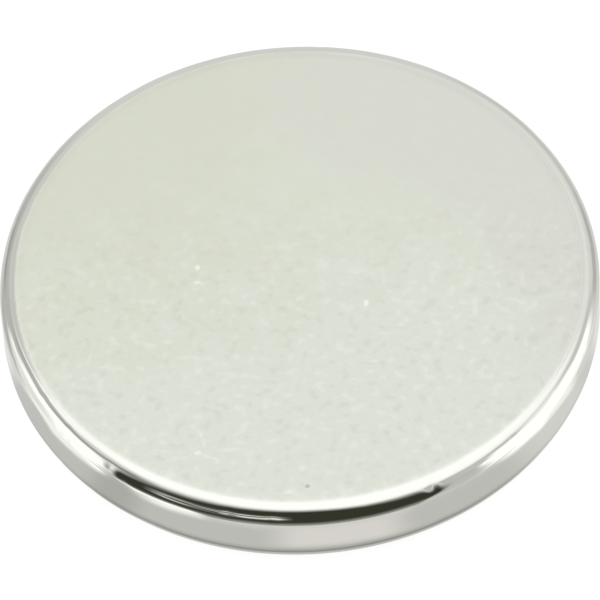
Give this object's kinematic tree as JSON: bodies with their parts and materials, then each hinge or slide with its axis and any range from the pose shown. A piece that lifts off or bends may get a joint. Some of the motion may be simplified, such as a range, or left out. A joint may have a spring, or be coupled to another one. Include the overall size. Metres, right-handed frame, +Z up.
{
  "type": "disc magnet",
  "caption": "Thin round permanent magnet: a nickel-plated disc with satin pole faces, a brighter rim and tumbled edges, for holding and latching.",
  "frame": {"origin": "middle of the lower pole face, on the surface that the disc lies on", "axes": "+Z up along the axis of the disc, which is the way it is magnetised; X and Y lie in the lower pole face"},
  "size_m": [0.015, 0.015, 0.002],
  "materials": {
    "nickel_plate": "satin nickel plate, brighter along the rim"
  },
  "bodies": {
    "root": {"disc_magnet": "nickel_plate"}
  },
  "joints": []
}
